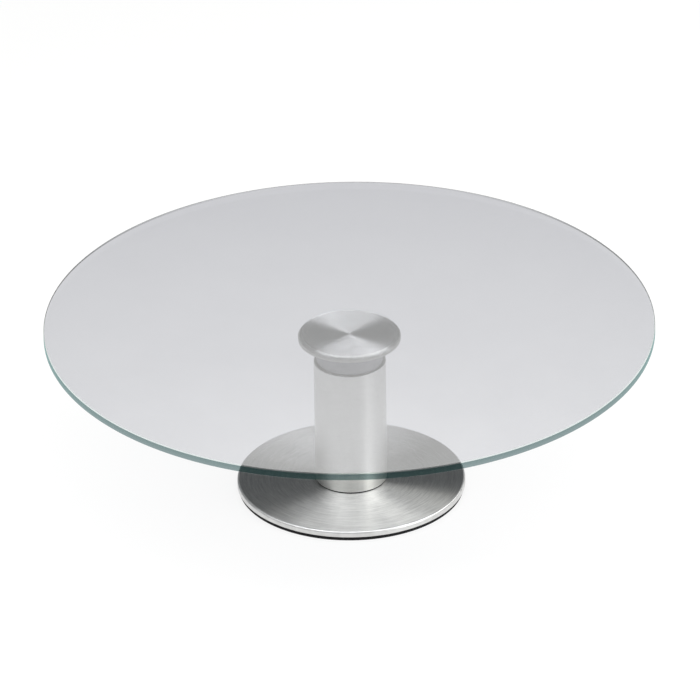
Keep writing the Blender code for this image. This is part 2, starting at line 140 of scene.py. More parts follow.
# Glass. Its colours are what passes one skin, or what its haze gives back.
FACE_TINT = (0.522, 0.527, 0.560, 1)
GLASS_DEEP = (0.222, 0.293, 0.293, 1)  # through the top of the disc's edge
GLASS_PALE = (0.317, 0.383, 0.388, 1)  # through the bottom of it
ARRIS_TINT = (0.80, 0.86, 0.85, 1)
ADHESIVE_TINT = (0.96, 0.96, 0.97, 1)
OUTLINE_SHADE = (0.02, 0.03, 0.03, 1)
OUTLINE_DEPTH = 1.1 * MM  # of the darkest part of the rim, seen through the glass
OUTLINE_END = 1.4 * OUTLINE_DEPTH
GREEN_GLOW = (0.02, 0.52, 0.48, 1)
WHITE_GLOW = (0.90, 0.90, 0.88, 1)
FACE_REFLECTANCE = 0.043  # of one face, seen straight on
RIM_REFLECTANCE = 0.012  # of the edge and its arrises, low enough for their green to show
SLANT_POWER = 5.0  # the greater, the later a slanting view starts to add reflection
GRAZING_MIRROR = 0.3  # what it adds to the mirror image of the lamps
ROOM_VEIL = 0.65  # what it adds to the even reflection of a pale room
FACE_SLOPE = 0.95  # least upright part of a face's normal
EDGE_SLOPE = 0.3  # greatest upright part of the edge's normal

# Camera. The view is from the front, about 29 degrees above the table.
VIEW_ELEVATION = math.radians(28.6)
VIEW_ROLL = math.radians(-0.75)
VIEW_DISTANCE = 8.0
VIEW_WIDTH = 0.3435  # width of the picture at the glass
AIM_BELOW_GLASS = 13.9 * MM
AIM_SIDE = 0.2 * MM
SENSOR_WIDTH = 36.0

# Stage.
LAMP_AIM = Vector((0, 0, 0.05))
WARM_LIGHT = (1.0, 1.0, 0.965)
CAP_LIGHT = (1.0, 1.0, 0.94)
WHITE_LIGHT = (1.0, 1.0, 1.0)
FLOOR_SIZE = 40.0
FLOOR_GAP = 0.1 * MM


class Tree:
    """A new material's node tree, with short calls to add to it."""

    def __init__(self, name):
        self.material = bpy.data.materials.new(name)
        self.material.use_nodes = True
        self.nodes = self.material.node_tree.nodes
        self.links = self.material.node_tree.links
        self.nodes.clear()
        self.out = self.nodes.new("ShaderNodeOutputMaterial")

    def add(self, kind, inputs=None, **settings):
        """A node with its settings, and its inputs as values or links."""
        made = self.nodes.new("ShaderNode" + kind)
        for key, value in settings.items():
            setattr(made, key, value)
        for key, value in (inputs or {}).items():
            if isinstance(value, bpy.types.NodeSocket):
                self.links.new(value, made.inputs[key])
            else:
                made.inputs[key].default_value = value
        return made

    def calculate(self, operation, first, second=0.0):
        """The result of one operation on two values."""
        return self.add("Math", {0: first, 1: second}, operation=operation).outputs[0]

    def noise(self, vector, scale, detail=2.0, roughness=0.5):
        """Noise between 0 and 1 at a point."""
        values = {"Vector": vector, "Scale": scale, "Detail": detail, "Roughness": roughness}
        return self.add("TexNoise", values).outputs["Fac"]

    def remap(self, value, low, high, start=0.3, end=0.7):
        """A value stretched from start..end to low..high, and held within it."""
        values = {"Value": value, "From Min": start, "From Max": end, "To Min": low, "To Max": high}
        return self.add("MapRange", values, clamp=True).outputs["Result"]

    def blend(self, factor, first, second, mode="MIX"):
        """A colour made of two, by a factor."""
        mix = self.add("Mix", {"Factor": factor}, data_type="RGBA", blend_type=mode)
        for socket, value in ((mix.inputs[6], first), (mix.inputs[7], second)):
            if isinstance(value, bpy.types.NodeSocket):
                self.links.new(value, socket)
            else:
                socket.default_value = value
        return mix.outputs[2]

    def bump(self, height, distance, strength=1.0):
        """A normal from a height."""
        values = {"Height": height, "Distance": distance, "Strength": strength}
        return self.add("Bump", values).outputs["Normal"]

    def finish(self, surface):
        """Connects the surface and returns the material."""
        self.links.new(surface, self.out.inputs["Surface"])
        return self.material


def grey(value):
    """A neutral colour."""
    return (value, value, value, 1)


def scaled(colour, factor):
    """A colour with its three parts multiplied and held below white."""
    return tuple(min(factor * part, 1) for part in colour[:3]) + (1,)


def object_point(tree):
    """The point being shaded, in the piece's own coordinates."""
    return tree.add("TexCoord").outputs["Object"]


def round_coordinates(tree, along, around):
    """A point for noise that changes fast along a turned piece's outline and slowly around it."""
    parts = tree.add("SeparateXYZ", {"Vector": object_point(tree)})
    x, y, z = parts.outputs
    flat = tree.add("CombineXYZ", {"X": x, "Y": y})
    radius = tree.add("VectorMath", {0: flat.outputs[0]}, operation="LENGTH").outputs["Value"]
    direction = tree.add("VectorMath", {0: flat.outputs[0]}, operation="NORMALIZE").outputs[0]
    turned_way = tree.add("SeparateXYZ", {"Vector": direction})
    outline = tree.calculate("MULTIPLY", tree.calculate("ADD", radius, z), along)
    point = {
        "X": tree.calculate("MULTIPLY", turned_way.outputs[0], around),
        "Y": tree.calculate("MULTIPLY", turned_way.outputs[1], around),
        "Z": outline,
    }
    return tree.add("CombineXYZ", point).outputs[0]


def brushed_steel(name, roughness, anisotropy, line_depth, contrast):
    """Steel brushed in circles about Z: fine lines, faint rays across them and a satin highlight."""
    tree = Tree(name)
    fine = tree.noise(round_coordinates(tree, *FINE_STROKES), 1.0, detail=3.0, roughness=0.7)
    broad = tree.noise(round_coordinates(tree, *BROAD_STROKES), 1.0, detail=3.0, roughness=0.6)
    rays = tree.noise(round_coordinates(tree, *RAYS), 1.0, detail=3.0)
    fine_part = tree.calculate("MULTIPLY", fine, FINE_SHARE)
    broad_part = tree.calculate("MULTIPLY", broad, BROAD_SHARE)
    lines = tree.calculate("ADD", fine_part, broad_part)
    dark = scaled(STEEL, 1 - contrast)
    light = scaled(STEEL, 1 + contrast / 2)
    line_shade = tree.blend(tree.remap(lines, 0, 1, start=0.36, end=0.64), dark, light)
    ray_shade = tree.blend(tree.remap(rays, 0, 1), grey(1 - RAY_CONTRAST), grey(1))
    shader = tree.add(
        "BsdfPrincipled",
        {
            "Base Color": tree.blend(1.0, line_shade, ray_shade, "MULTIPLY"),
            "Metallic": 1.0,
            "Roughness": tree.remap(lines, roughness - 0.05, roughness + 0.05),
            "Anisotropic": anisotropy,
            "Anisotropic Rotation": 0.25,
            "Tangent": tree.add("Tangent", direction_type="RADIAL", axis="Z").outputs[0],
            "Normal": tree.bump(lines, line_depth),
        },
    )
    return tree.finish(shader.outputs[0])


def satin_metal(name, colour, roughness, metallic=1.0):
    """A turned or plated metal with fine circular tool marks and small uneven patches."""
    tree = Tree(name)
    marks = tree.noise(round_coordinates(tree, *TOOL_MARKS), 1.0)
    patches = tree.noise(object_point(tree), scale=260.0, detail=3.0)
    dark = scaled(colour, 0.86)
    shader = tree.add(
        "BsdfPrincipled",
        {
            "Base Color": tree.blend(tree.remap(patches, 0, 1), dark, colour),
            "Metallic": metallic,
            "Roughness": tree.remap(marks, roughness - 0.06, roughness + 0.08),
            "Normal": tree.bump(marks, 0.01 * MM),
        },
    )
    return tree.finish(shader.outputs[0])


def polished_steel():
    """Hardened bearing steel, near a mirror, with the faint haze of its running marks."""
    tree = Tree("bearing_steel")
    marks = tree.noise(object_point(tree), scale=900.0, detail=3.0)
    colour = tree.blend(tree.remap(marks, 0, 1), (0.55, 0.56, 0.58, 1), (0.66, 0.67, 0.68, 1))
    shader = tree.add(
        "BsdfPrincipled",
        {"Base Color": colour, "Metallic": 1.0, "Roughness": tree.remap(marks, 0.08, 0.2)},
    )
    return tree.finish(shader.outputs[0])


def moulded(name, colour, roughness, grain, depth):
    """Moulded rubber or plastic with a fine pebbled skin."""
    tree = Tree(name)
    pebbles = tree.noise(object_point(tree), scale=grain, detail=4.0, roughness=0.6)
    patches = tree.noise(object_point(tree), scale=120.0)
    light = scaled(colour, 1.5)
    shader = tree.add(
        "BsdfPrincipled",
        {
            "Base Color": tree.blend(tree.remap(patches, 0, 1), colour, light),
            "Roughness": tree.remap(pebbles, roughness - 0.08, roughness + 0.08),
            "Specular IOR Level": 0.2,
            "Normal": tree.bump(pebbles, depth),
        },
    )
    return tree.finish(shader.outputs[0])


def glass(tree, way_in, way_out, haze, gloss_roughness, reflectance, glow=WHITE_GLOW, room=ROOM_VEIL):
    """Clear glass: what passes its skin on the way in and out, its faint haze and its reflection.

    Only the skin that faces the eye has haze, which glow colours and room adds to at a slant.
    """
    point = object_point(tree)
    smears = tree.noise(point, scale=38.0, detail=4.0, roughness=0.55)
    specks = tree.noise(point, scale=900.0)
    back = tree.add("NewGeometry").outputs["Backfacing"]
    passed = tree.add("BsdfTransparent", {"Color": tree.blend(back, way_in, way_out)})
    veil = tree.add("BsdfDiffuse", {"Color": glow})
    smeared = tree.remap(smears, haze * 0.95, haze * 1.05)
    speckled = tree.calculate("ADD", smeared, tree.remap(specks, 0.0, 0.01, start=0.68, end=0.8))
    slant = tree.calculate("POWER", facing_away(tree), SLANT_POWER)
    hazed = tree.calculate("ADD", speckled, tree.calculate("MULTIPLY", slant, room))
    share = tree.calculate("MULTIPLY", hazed, tree.calculate("SUBTRACT", 1.0, back))
    body = tree.add("MixShader", {0: share, 1: passed.outputs[0], 2: veil.outputs[0]})
    roughness = tree.remap(smears, gloss_roughness, gloss_roughness + 0.04)
    shine = tree.add("BsdfGlossy", {"Roughness": roughness})
    mirrored = tree.calculate("ADD", tree.calculate("MULTIPLY", slant, GRAZING_MIRROR), reflectance)
    whole = tree.add("MixShader", {0: mirrored, 1: body.outputs[0], 2: shine.outputs[0]})
    return tree.finish(whole.outputs[0])


def glass_face():
    """The glass disc's two faces."""
    return glass(
        Tree("clear_glass"),
        way_in=FACE_TINT,
        way_out=grey(1),
        haze=0.10,
        gloss_roughness=0.0,
        reflectance=FACE_REFLECTANCE,
    )


def glass_edge():
    """The glass disc's polished edge, green with the glass behind it and deeper at the top."""
    tree = Tree("glass_edge")
    _, low, top = reach("glass_top")
    height = glass_height(tree)
    green = tree.blend(tree.remap(height, 0, 1, start=low, end=top), GLASS_PALE, GLASS_DEEP)
    return glass(
        tree,
        way_in=green,
        way_out=outline_shade(tree),
        haze=0.016,
        gloss_roughness=0.02,
        reflectance=RIM_REFLECTANCE,
        glow=GREEN_GLOW,
    )


def glass_arris():
    """The glass disc's ground arrises, pale when faced and dark at a slant."""
    tree = Tree("glass_arris")
    shade = outline_shade(tree)
    aslant = tree.remap(facing_away(tree), 0, 1, start=0.5, end=0.9)
    return glass(
        tree,
        way_in=tree.blend(aslant, ARRIS_TINT, shade),
        way_out=shade,
        haze=0.02,
        gloss_roughness=0.12,
        reflectance=RIM_REFLECTANCE,
        room=0.0,
    )


def clear_adhesive():
    """The cured adhesive under the glass."""
    return glass(
        Tree("clear_adhesive"),
        way_in=ADHESIVE_TINT,
        way_out=grey(1),
        haze=0.02,
        gloss_roughness=0.1,
        reflectance=FACE_REFLECTANCE,
    )


def facing_away(tree):
    """How far a surface turns from the eye, from 0 when faced to 1 at its edge."""
    return tree.add("LayerWeight", {"Blend": 0.5}).outputs["Facing"]


def glass_height(tree):
    """The level of the point being shaded."""
    return tree.add("SeparateXYZ", {"Vector": object_point(tree)}).outputs["Z"]


def outline_shade(tree):
    """What passes the disc's rim from inside: little near its top edge when seen at a slant."""
    depth = tree.calculate("SUBTRACT", reach("glass_top")[2], glass_height(tree))
    near_top = tree.remap(depth, 1, 0, start=OUTLINE_DEPTH, end=OUTLINE_END)
    aslant = tree.remap(facing_away(tree), 0, 1, start=0.15, end=0.6)
    return tree.blend(tree.calculate("MULTIPLY", near_top, aslant), grey(1), OUTLINE_SHADE)


def filleted(outline):
    """Replaces each (radius, height, fillet) corner of an outline with an arc."""
    points = []
    count = len(outline)
    for index, corner in enumerate(outline):
        here = Vector(corner[:2])
        if len(corner) < 3:
            points.append(here)
            continue
        before = Vector(outline[index - 1][:2]) - here
        after = Vector(outline[(index + 1) % count][:2]) - here
        half = before.angle(after) / 2
        setback = corner[2] / math.tan(half)
        start = here + before.normalized() * setback
        end = here + after.normalized() * setback
        inwards = (before.normalized() + after.normalized()).normalized()
        pivot = here + inwards * (corner[2] / math.sin(half))
        turn = (start - pivot).angle_signed(end - pivot)
        if before.length > 2 * (setback + HOLDING_GAP):
            points.append(start + before.normalized() * HOLDING_GAP)
        for step in range(FILLET_STEPS + 1):
            spoke = start - pivot
            spoke.rotate(Matrix.Rotation(-turn * step / FILLET_STEPS, 2))
            points.append(pivot + spoke)
        if after.length > 2 * (setback + HOLDING_GAP):
            points.append(end + after.normalized() * HOLDING_GAP)
    return points


def smooth(piece):
    """Shades a piece smooth but for its sharp edges."""
    piece.data.shade_smooth()
    piece.data.set_sharp_from_angle(angle=SHARP_ANGLE)


def new_piece(name, shape):
    """An object with a bmesh's shape."""
    bmesh.ops.recalc_face_normals(shape, faces=shape.faces)
    mesh = bpy.data.meshes.new(name)
    shape.to_mesh(mesh)
    shape.free()
    made = bpy.data.objects.new(name, mesh)
    bpy.context.scene.collection.objects.link(made)
    smooth(made)
    return made


def turned(name, outline, segments):
    """A solid of revolution about Z, from (radius, height[, fillet]) points down its outer side.

    An outline that starts and ends on the axis makes a solid, and any other closes on itself.
    """
    shape = bmesh.new()
    rings = []
    for radius, height in filleted(outline):
        if radius == 0:
            rings.append([shape.verts.new((0, 0, height))] * segments)
            continue
        angles = [2 * math.pi * step / segments for step in range(segments)]
        ring_points = [(radius * math.cos(angle), radius * math.sin(angle), height) for angle in angles]
        rings.append([shape.verts.new(point) for point in ring_points])
    pairs = len(rings) if outline[0][0] > 0 else len(rings) - 1
    for index in range(pairs):
        upper, lower = rings[index], rings[(index + 1) % len(rings)]
        for step in range(segments):
            after = (step + 1) % segments
            corners = [upper[step], lower[step], lower[after], upper[after]]
            shape.faces.new(dict.fromkeys(corners))
    return new_piece(name, shape)


def disc(radius, low, top, top_round, low_round):
    """Outline of a solid disc with a rounded rim."""
    return [(0, top), (radius, top, top_round), (radius, low, low_round), (0, low)]


def ring(bore, radius, low, top, rounding):
    """Outline of a ring with four rounded edges."""
    outer = [(radius, top, rounding), (radius, low, rounding)]
    return [*outer, (bore, low, rounding), (bore, top, rounding)]


def arc(radius, height, size, start, end):
    """Outline points on an arc about (radius, height), between two angles from outwards."""
    angles = [start + (end - start) * step / ARC_STEPS for step in range(ARC_STEPS + 1)]
    return [(radius + size * math.cos(angle), height + size * math.sin(angle)) for angle in angles]


def thread_rings(radius, top, low, pitch):
    """Outline points of a stretch that cut_thread can sink a thread into."""
    count = round((top - low) / pitch * THREAD_STEPS)
    return [(radius, top - (top - low) * step / count) for step in range(count + 1)]


def cut_thread(piece, radius, top, low, pitch):
    """Sinks a helical groove into the rings between two levels, shallower at its two ends."""
    for vertex in piece.data.vertices:
        x, y, z = vertex.co
        if not low < z < top or math.hypot(x, y) < ON_SURFACE * radius:
            continue
        phase = (z / pitch - math.atan2(y, x) / (2 * math.pi)) % 1
        run_out = min(1, (top - z) / pitch, (z - low) / pitch)
        sink = THREAD_DEPTH * pitch * (1 - abs(2 * phase - 1)) * run_out
        vertex.co.xy *= 1 - sink / radius
    smooth(piece)


def hexagon(name, across_flats, low, top):
    """A closed hexagonal prism."""
    shape = bmesh.new()
    radius = across_flats / math.sqrt(3)
    middle = Matrix.Translation((0, 0, (low + top) / 2))
    bmesh.ops.create_cone(
        shape,
        cap_ends=True,
        segments=6,
        radius1=radius,
        radius2=radius,
        depth=top - low,
        matrix=middle,
    )
    return new_piece(name, shape)


def hole_cutter(outline, middle, turn=0.0):
    """A turned shape to cut with, moved to a point of the plane and turned about its own axis."""
    cutter = turned("cutter", outline, SMALL_SEGMENTS)
    cutter.location.xy = middle
    cutter.rotation_euler.z = turn
    return cutter


def plain_hole(radius, low, top):
    """Outline of a cutter for a plain hole, which reaches a little past both of its levels."""
    return disc(radius, low - CUTTER_OVERSHOOT, top + CUTTER_OVERSHOOT, GAP, GAP)


def carve(piece, cutters, operation="DIFFERENCE"):
    """Cuts a piece with closed shapes, or keeps what lies inside them, and removes the shapes."""
    for cutter in cutters:
        change = piece.modifiers.new("carve", "BOOLEAN")
        change.operation = operation
        change.object = cutter
    graph = bpy.context.evaluated_depsgraph_get()
    mesh = bpy.data.meshes.new_from_object(piece.evaluated_get(graph), depsgraph=graph)
    piece.modifiers.clear()
    piece.data = mesh
    shape = bmesh.new()
    shape.from_mesh(mesh)
    bmesh.ops.remove_doubles(shape, verts=shape.verts, dist=WELD)
    bmesh.ops.dissolve_degenerate(shape, edges=shape.edges, dist=WELD)
    shape.to_mesh(mesh)
    shape.free()
    for cutter in cutters:
        bpy.data.objects.remove(cutter)
    smooth(piece)


def place(piece, node, slot, *looks):
    """Gives a piece its materials and body, and puts it in the place of its CAD node."""
    for look in looks:
        piece.data.materials.append(look)
    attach(piece, frame["nodes"][node]["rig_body"])
    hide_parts(node)
    return piece


def reach(node):
    """The outer radius of a CAD node that is centred on the axis, and its lowest and highest level."""
    low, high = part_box(node)
    return high.x, low.z, high.z


def centre(node):
    """The middle of a CAD node's box."""
    low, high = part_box(node)
    return (low + high) / 2


def screw_nodes():
    """The CAD's base screws."""
    return sorted(node for node in frame["nodes"] if node.startswith("base_screw"))


def ball_nodes():
    """The CAD's bearing balls."""
    return sorted(node for node in frame["nodes"] if node.startswith("bearing_ball"))


def make_glass_top(face, edge, arris):
    """The glass disc, with an arris ground on both edges of its polished rim."""
    radius, low, top = reach("glass_top")
    outline = [
        (0, top),
        (radius - GLASS_ARRIS, top, GLASS_ROUND),
        (radius, top - GLASS_ARRIS, GLASS_ROUND),
        (radius, low + GLASS_ARRIS, GLASS_ROUND),
        (radius - GLASS_ARRIS, low, GLASS_ROUND),
        (0, low),
    ]
    glass_disc = turned("glass_disc", outline, WIDE_SEGMENTS)
    # Flat faces take the first material, the edge the second and the arrises the third.
    for polygon in glass_disc.data.polygons:
        slope = abs(polygon.normal.z)
        polygon.material_index = 0 if slope > FACE_SLOPE else 1 if slope < EDGE_SLOPE else 2
    return place(glass_disc, "glass_top", "clear_glass", face, edge, arris)


def make_bond_film(look):
    """The clear adhesive between the glass and the cap."""
    outline = disc(*reach("bond_film"), THIN_ROUND, THIN_ROUND)
    place(turned("bond_layer", outline, BODY_SEGMENTS), "bond_film", "clear_adhesive", look)


def make_cap(look):
    """The steel cap bonded under the glass, with the ring below that seats in the neck."""
    radius, low, top = reach("cap_disc")
    disc_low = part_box("swivel_hub")[1].z + GAP
    ring_radius = HUB_SEAT_RADIUS - GAP
    ring_bore = ring_radius - CAP_RING_WALL
    outline = [
        (0, top),
        (radius - CAP_BEVEL, top, CAP_ROUND),
        (radius, top - CAP_BEVEL, CAP_ROUND),
        (radius, disc_low, FINE_ROUND),
        (ring_radius, disc_low, FINE_ROUND),
        (ring_radius, low, FINE_ROUND),
        (ring_bore, low, FINE_ROUND),
        (ring_bore, disc_low + CAP_POCKET_DEPTH, FINE_ROUND),
        (0, disc_low + CAP_POCKET_DEPTH),
    ]
    return place(turned("cap", outline, BODY_SEGMENTS), "cap_disc", "brushed_steel", look)


def make_neck(look):
    """The recessed neck under the cap, a cup that covers the bearing."""
    radius, low, top = reach("swivel_hub")
    race_radius, _, race_top = reach("upper_race")
    well_radius = race_radius + GAP
    web_low = race_top + GAP
    bore = BUSH_RADIUS + GAP
    outline = [
        (radius, top, FINE_ROUND),
        (radius, low, FINE_ROUND),
        (well_radius, low, FINE_ROUND),
        (well_radius, web_low, FINE_ROUND),
        (bore, web_low, FINE_ROUND),
        (bore, web_low + HUB_WEB, FINE_ROUND),
        (HUB_SEAT_RADIUS, web_low + HUB_WEB, FINE_ROUND),
        (HUB_SEAT_RADIUS, top, FINE_ROUND),
    ]
    place(turned("neck", outline, BODY_SEGMENTS), "swivel_hub", "satin_neck", look)


def make_bush(look):
    """The flanged bush that centres the neck on the spindle."""
    radius, low, top = reach("pivot_bush")
    outline = [
        (radius, top, FINE_ROUND),
        (radius, top - BUSH_FLANGE_THICKNESS, FINE_ROUND),
        (BUSH_RADIUS, top - BUSH_FLANGE_THICKNESS, FINE_ROUND),
        (BUSH_RADIUS, low, FINE_ROUND),
        (BUSH_BORE_RADIUS, low, FINE_ROUND),
        (BUSH_BORE_RADIUS, top, FINE_ROUND),
    ]
    place(turned("hub_bush", outline, RING_SEGMENTS), "pivot_bush", "bush_plastic", look)


def ball_groove(level, upwards):
    """Outline points of a race's ball groove, from the bore outwards if it opens upwards."""
    circle_radius = centre(ball_nodes()[0]).xy.length
    ball_low, ball_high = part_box(ball_nodes()[0])
    size = (ball_high.z - ball_low.z) / 2 + GAP
    half = math.acos((size - RACE_GROOVE_DEPTH) / size)
    middle = -math.pi / 2 if upwards else math.pi / 2
    return arc(circle_radius, level, size, middle - half, middle + half)


def make_races(look):
    """The bearing's two hardened washers, each with a groove for the balls."""
    level = centre("ball_cage").z
    radius, low, top = reach("lower_race")
    corners = ring(RACE_BORE_RADIUS, radius, low, top, FINE_ROUND)
    lower = turned("lower_bearing_race", [*corners, *ball_groove(level, True)], RING_SEGMENTS)
    place(lower, "lower_race", "bearing_steel", look)
    radius, low, top = reach("upper_race")
    corners = ring(RACE_BORE_RADIUS, radius, low, top, FINE_ROUND)
    outline = [*corners[:2], *ball_groove(level, False), *corners[2:]]
    place(turned("upper_bearing_race", outline, RING_SEGMENTS), "upper_race", "bearing_steel", look)


def make_balls(look):
    """The bearing's balls."""
    for index, node in enumerate(ball_nodes(), start=1):
        middle = centre(node)
        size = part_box(node)[1].z - middle.z
        half_circle = arc(0, 0, size, math.pi / 2, -math.pi / 2)[1:-1]
        ball = turned(f"ball_{index}", [(0, size), *half_circle, (0, -size)], SMALL_SEGMENTS)
        ball.location = middle
        place(ball, node, "bearing_steel", look)


def make_cage(look):
    """The flat brass cage, with a pocket for each ball."""
    radius, low, top = reach("ball_cage")
    bore = RACE_BORE_RADIUS + GAP
    cage = turned("brass_cage", ring(bore, radius, low, top, FINE_ROUND), RING_SEGMENTS)
    off_the_edges = math.pi / SMALL_SEGMENTS  # a turn that keeps a pocket's corners off the cage's
    pockets = []
    for node in ball_nodes():
        ball_low, ball_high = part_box(node)
        outline = plain_hole((ball_high.z - ball_low.z) / 2 + GAP, low, top)
        pockets.append(hole_cutter(outline, centre(node).xy, off_the_edges))
    carve(cage, pockets)
    place(cage, "ball_cage", "cage_brass", look)


def make_spindle(look):
    """The fixed pin that the head turns on, grooved for its circlip and threaded for its nut."""
    radius, low, top = reach("spindle")
    _, clip_low, clip_top = reach("circlip")
    groove_radius = radius - CIRCLIP_GROOVE_DEPTH
    groove_low = clip_low - GAP / 2
    groove_top = clip_top + GAP / 2
    thread_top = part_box("top_plug")[0].z
    thread_low = low + SPINDLE_PITCH / 2
    outline = [
        (0, top),
        (radius, top, 2 * FINE_ROUND),
        (radius, groove_top),
        (groove_radius, groove_top),
        (groove_radius, groove_low),
        (radius, groove_low),
        *thread_rings(radius, thread_top, thread_low, SPINDLE_PITCH),
        (radius - SPINDLE_PITCH / 2, low),
        (0, low),
    ]
    spindle = turned("pivot_spindle", outline, SMALL_SEGMENTS)
    cut_thread(spindle, radius, thread_top, thread_low, SPINDLE_PITCH)
    place(spindle, "spindle", "turned_steel", look)


def make_washers(look):
    """The washer over the bush and the thicker one under the top plug."""
    names = {"retaining_washer": "hub_washer", "spindle_washer": "nut_washer"}
    for node, name in names.items():
        outline = ring(SPINDLE_HOLE_RADIUS, *reach(node), FINE_ROUND)
        place(turned(name, outline, RING_SEGMENTS), node, "zinc_plate", look)


def make_circlip(look):
    """The open ring in the spindle's groove, slimmer than its two ends, which have plier holes."""
    radius, low, top = reach("circlip")
    bore = SPINDLE_HOLE_RADIUS - CIRCLIP_GROOVE_DEPTH
    edge = math.asin(CIRCLIP_MOUTH / 2 / radius)
    start, end = math.pi / 2 + edge, math.pi * 5 / 2 - edge
    shape = bmesh.new()
    rows = []
    for step in range(SMALL_SEGMENTS * 2 + 1):
        angle = start + (end - start) * step / (SMALL_SEGMENTS * 2)
        from_end = min(angle - start, end - angle)
        slim = min(1, max(0, from_end / CIRCLIP_LUG_ANGLE - 1))
        outer = radius + (bore + CIRCLIP_BAND - radius) * slim
        corners = [(bore, low), (outer, low), (outer, top), (bore, top)]
        rows.append([shape.verts.new((r * math.cos(angle), r * math.sin(angle), z)) for r, z in corners])
    for before, after in zip(rows, rows[1:]):
        for side in range(4):
            other = (side + 1) % 4
            shape.faces.new((before[side], after[side], after[other], before[other]))
    shape.faces.new(rows[0])
    shape.faces.new(reversed(rows[-1]))
    clip = new_piece("spring_clip", shape)
    lug_radius = (bore + radius) / 2
    holes = []
    for angle in (start + CIRCLIP_LUG_ANGLE / 2, end - CIRCLIP_LUG_ANGLE / 2):
        middle = (lug_radius * math.cos(angle), lug_radius * math.sin(angle))
        holes.append(hole_cutter(plain_hole(CIRCLIP_PLIER_HOLE, low, top), middle))
    carve(clip, holes)
    place(clip, "circlip", "zinc_plate", look)


def make_nut(look):
    """The hexagon nut under the top plug, chamfered at its corners and its bore."""
    low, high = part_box("spindle_nut")
    crown = NUT_CROWN * NUT_ACROSS_FLATS / 2
    girth = NUT_ACROSS_FLATS / math.sqrt(3) + GAP
    slope = (girth - crown) / 2
    nut = hexagon("hex_nut", NUT_ACROSS_FLATS, low.z, high.z)
    barrel = [
        (0, high.z),
        (crown, high.z),
        (girth, high.z - slope),
        (girth, low.z + slope),
        (crown, low.z),
        (0, low.z),
    ]
    carve(nut, [turned("barrel", barrel, RING_SEGMENTS)], "INTERSECT")
    mouth = SPINDLE_HOLE_RADIUS + 2 * GAP
    bore = [
        (0, high.z + CUTTER_OVERSHOOT),
        (mouth, high.z + CUTTER_OVERSHOOT),
        (mouth, high.z),
        (SPINDLE_HOLE_RADIUS, high.z - 2 * GAP),
        (SPINDLE_HOLE_RADIUS, low.z + 2 * GAP),
        (mouth, low.z),
        (mouth, low.z - CUTTER_OVERSHOOT),
        (0, low.z - CUTTER_OVERSHOOT),
    ]
    carve(nut, [turned("bore", bore, SMALL_SEGMENTS)])
    place(nut, "spindle_nut", "zinc_plate", look)


def make_column(look):
    """The column, a brushed tube."""
    radius, _, top = reach("column_tube")
    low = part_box("foot_gasket")[1].z + CLOSE_FIT
    outline = ring(radius - COLUMN_WALL, radius, low, top, COLUMN_ROUND)
    outline[1] = (radius, low, THIN_ROUND)
    place(turned("column", outline, BODY_SEGMENTS), "column_tube", "brushed_steel", look)


def make_plugs(look):
    """The two turned plugs in the column's ends, the lower one drilled for the base's screws."""
    radius, low, top = reach("top_plug")
    outline = ring(SPINDLE_HOLE_RADIUS, radius, low, top, COLUMN_ROUND)
    place(turned("head_insert", outline, RING_SEGMENTS), "top_plug", "turned_steel", look)
    radius, low, top = reach("foot_plug")
    plug = turned("foot_insert", disc(radius, low, top, COLUMN_ROUND, FINE_ROUND), RING_SEGMENTS)
    outline = plain_hole(SCREW_RADIUS + GAP, low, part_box(screw_nodes()[0])[1].z)
    carve(plug, [hole_cutter(outline, centre(node).xy) for node in screw_nodes()])
    place(plug, "foot_plug", "turned_steel", look)


def make_gasket(look):
    """The thin dark ring at the column's foot."""
    radius, _, top = reach("foot_gasket")
    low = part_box("base_plate")[1].z + CLOSE_FIT
    bore = reach("column_tube")[0] - COLUMN_WALL
    outline = ring(bore, radius, low, top, THIN_ROUND)
    place(turned("gasket", outline, BODY_SEGMENTS), "foot_gasket", "black_rubber", look)


def make_base(look, edge_look):
    """The base plate: a painted highlight on its rounded edge, and a countersunk hole for each screw
    below.
    """
    radius, low, top = reach("base_plate")
    base = turned("base", disc(radius, low, top, BASE_ROUND, FINE_ROUND), WIDE_SEGMENTS)
    hole_radius = SCREW_RADIUS + GAP
    head_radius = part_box(screw_nodes()[0])[1].x
    mouth_radius = head_radius - centre(screw_nodes()[0]).x + GAP
    outline = [
        (0, top + CUTTER_OVERSHOOT),
        (hole_radius, top + CUTTER_OVERSHOOT),
        (hole_radius, low + SCREW_HEAD_HEIGHT),
        (mouth_radius, low),
        (mouth_radius, low - CUTTER_OVERSHOOT),
        (0, low - CUTTER_OVERSHOOT),
    ]
    carve(base, [hole_cutter(outline, centre(node).xy) for node in screw_nodes()])
    # The rim, but for its underside, takes the second material: lighter steel that paints in part of its
    # highlight.
    for polygon in base.data.polygons:
        on_rim = polygon.center.xy.length > radius - BASE_ROUND
        underneath = polygon.normal.z <= -0.1
        polygon.material_index = 1 if on_rim and not underneath else 0
    place(base, "base_plate", "brushed_steel", look, edge_look)


def make_screws(look):
    """The countersunk screws that hold the column to the base, each with a hexagon socket."""
    for index, node in enumerate(screw_nodes(), start=1):
        low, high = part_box(node)
        middle = centre(node)
        head_radius = high.x - middle.x
        thread_top = high.z - SCREW_POINT
        thread_low = low.z + SCREW_HEAD_HEIGHT
        outline = [
            (0, high.z),
            (SCREW_RADIUS - SCREW_POINT, high.z),
            *thread_rings(SCREW_RADIUS, thread_top, thread_low, SCREW_PITCH),
            (head_radius, low.z, THIN_ROUND),
            (0, low.z),
        ]
        screw = turned(f"screw_{index}", outline, SMALL_SEGMENTS)
        cut_thread(screw, SCREW_RADIUS, thread_top, thread_low, SCREW_PITCH)
        socket = hexagon("socket", SOCKET_ACROSS_FLATS, low.z - CUTTER_OVERSHOOT, low.z + SOCKET_DEPTH)
        carve(screw, [socket])
        screw.location.xy = middle.xy
        place(screw, node, "zinc_plate", look)


